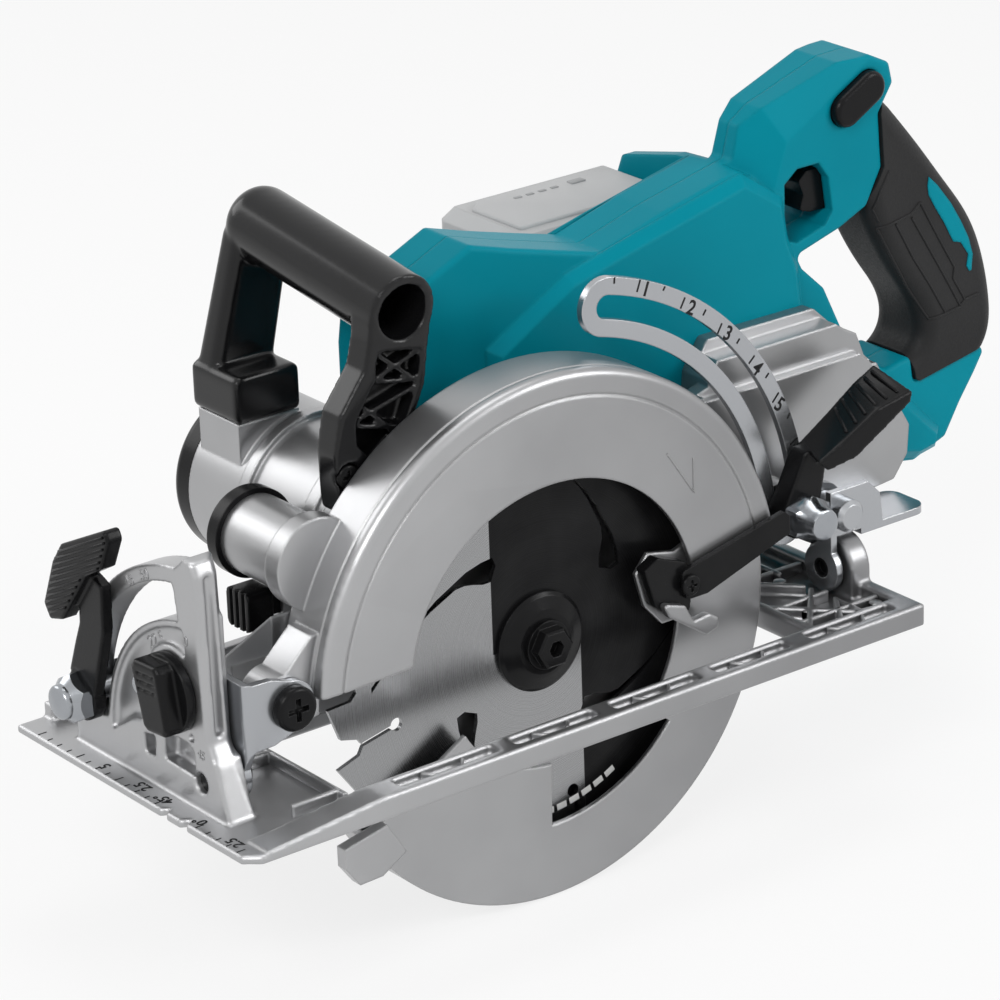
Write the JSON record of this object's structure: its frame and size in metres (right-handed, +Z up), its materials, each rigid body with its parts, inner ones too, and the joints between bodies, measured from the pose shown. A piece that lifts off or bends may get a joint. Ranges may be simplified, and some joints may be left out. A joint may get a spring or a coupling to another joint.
{
  "type": "cordless circular saw",
  "caption": "Cordless circular saw with a rear grip and front handle, swinging blade guard, ribbed sole plate that tilts and sets depth, and a battery that slides on at the side.",
  "frame": {"origin": "on the spindle axis in the middle of the blade's thickness", "axes": "+X from the blade to the rear grip, -Y out of the blade's open side, +Z up; the sole is at z -26.5 mm"},
  "size_m": [0.4355, 0.182, 0.271],
  "materials": {
    "teal_plastic": "fine texture",
    "black_rubber": "ribbed matt",
    "black_plastic": "satin",
    "light_casting": "satin cast",
    "dark_casting": "satin cast",
    "depth_paint": "satin",
    "zinc_steel": "zinc plated",
    "blade_steel": "ground",
    "gear_steel": "oiled",
    "black_steel": "black oxide",
    "pale_plastic": "satin"
  },
  "bodies": {
    "saw_body": {"upper_guard": "light_casting", "chip_tube": "light_casting", "tube_ring": "black_plastic", "front_shroud": "dark_casting", "depth_pivot_screw": "black_steel", "guard_clip": "zinc_steel", "guard_spring": "zinc_steel", "gear_housing": "dark_casting", "gear_cover": "dark_casting", "bearings": "zinc_steel", "bearing_plate": "light_casting", "stator": "gear_steel", "motor_housing": "light_casting", "motor_end_cover": "black_plastic", "front_handle": "black_plastic", "front_handle_screw": "black_steel", "housing_left": "teal_plastic", "housing_right": "teal_plastic", "housing_screws": "black_steel", "grip_sleeve": "black_rubber", "switch_unit": "black_plastic", "controller": "black_plastic", "battery_seat": "teal_plastic", "terminal_block": "black_plastic", "depth_clamp_bolt": "zinc_steel"},
    "blade_drive": {"blade": "blade_steel", "inner_flange": "gear_steel", "outer_flange": "black_steel", "blade_bolt": "black_steel", "spindle": "gear_steel", "spindle_gear": "gear_steel"},
    "idler": {"idler_gear": "gear_steel"},
    "rotor": {"rotor_shaft": "gear_steel", "rotor_core": "gear_steel", "fan": "black_plastic"},
    "swing_guard": {"lower_guard": "light_casting", "guard_knob": "black_plastic", "guard_finger": "light_casting", "retracting_lever": "black_steel", "lever_screw": "black_steel"},
    "carriage": {"front_bracket": "zinc_steel", "rear_bracket": "zinc_steel", "front_pin": "black_steel", "rear_pin": "black_steel", "bevel_clamp_bolt": "zinc_steel", "depth_rivet": "zinc_steel"},
    "guide": {"depth_guide": "zinc_steel"},
    "base": {"base_plate": "light_casting", "pointer_screw": "zinc_steel"},
    "bevel_clamp": {"bevel_lever": "black_plastic", "bevel_nut": "zinc_steel"},
    "stop": {"stop_knob": "black_plastic"},
    "depth_clamp": {"depth_lever": "depth_paint", "depth_nut": "zinc_steel"},
    "trigger_key": {"trigger": "black_plastic"},
    "lock_off": {"lock_off_button": "black_plastic"},
    "shaft_lock": {"shaft_lock_button": "black_plastic"},
    "battery": {"battery_case": "pale_plastic", "battery_cover": "pale_plastic"},
    "release": {"battery_release": "black_plastic"}
  },
  "joints": [
    {"name": "blade_spin", "type": "hinge", "parent": "saw_body", "child": "blade_drive", "pos_m": [0, 0, 0], "axis": [0, 1, 0], "continuous": true},
    {"name": "idler_spin", "type": "hinge", "parent": "saw_body", "child": "idler", "pos_m": [-0.01908, 0, 0.03401], "axis": [0, 1, 0], "continuous": true},
    {"name": "rotor_spin", "type": "hinge", "parent": "saw_body", "child": "rotor", "pos_m": [-0.042, 0, 0.044], "axis": [0, 1, 0], "continuous": true},
    {"name": "lower_guard_swing", "type": "hinge", "parent": "saw_body", "child": "swing_guard", "pos_m": [0, 0, 0], "axis": [0, -1, 0], "range_deg": [0, 100], "stiffness_Nm_per_rad": 0.12, "springref_deg": -68.75},
    {"name": "depth_adjust", "type": "hinge", "parent": "saw_body", "child": "carriage", "pos_m": [-0.116, 0, 0.0115], "axis": [0, 1, 0], "range_deg": [0, 32]},
    {"name": "guide_swing", "type": "hinge", "parent": "carriage", "child": "guide", "pos_m": [0.147, 0, 0.0105], "axis": [0, 1, 0], "range_deg": [0, 19.52]},
    {"name": "bevel_tilt", "type": "hinge", "parent": "carriage", "child": "base", "pos_m": [0, 0.003, -0.0125], "axis": [-1, 0, 0], "range_deg": [0, 53]},
    {"name": "bevel_lever_turn", "type": "hinge", "parent": "carriage", "child": "bevel_clamp", "pos_m": [-0.15, 0.07045, 0], "axis": [-1, 0, 0], "range_deg": [0, 60]},
    {"name": "stop_knob_turn", "type": "hinge", "parent": "base", "child": "stop", "pos_m": [-0.15, 0.017, 0.0185], "axis": [1, 0, 0], "range_deg": [0, 180]},
    {"name": "depth_lever_turn", "type": "hinge", "parent": "saw_body", "child": "depth_clamp", "pos_m": [0.1275, 0, 0.0145], "axis": [0, -1, 0], "range_deg": [0, 45]},
    {"name": "trigger_pull", "type": "slide", "parent": "saw_body", "child": "trigger_key", "axis": [1, 0, 0], "range_m": [0, 0.006], "stiffness_N_per_m": 800, "springref_m": -0.004},
    {"name": "lock_off_slide", "type": "slide", "parent": "saw_body", "child": "lock_off", "axis": [0, 1, 0], "range_m": [0, 0.003], "stiffness_N_per_m": 600, "springref_m": -0.002},
    {"name": "shaft_lock_press", "type": "slide", "parent": "saw_body", "child": "shaft_lock", "axis": [1, 0, 0], "range_m": [0, 0.004], "stiffness_N_per_m": 600, "springref_m": -0.002},
    {"name": "battery_slide", "type": "slide", "parent": "saw_body", "child": "battery", "axis": [0, 0, 1], "range_m": [0, 0.118]},
    {"name": "battery_release_press", "type": "slide", "parent": "battery", "child": "release", "axis": [0, -1, 0], "range_m": [0, 0.003], "stiffness_N_per_m": 600, "springref_m": -0.002}
  ],
  "couplings": [
    {"joint": "idler_spin", "follows": "blade_spin", "ratio": -0.95},
    {"joint": "rotor_spin", "follows": "blade_spin", "ratio": 3.8},
    {"joint": "guide_swing", "follows": "depth_adjust", "ratio": 0.61}
  ]
}
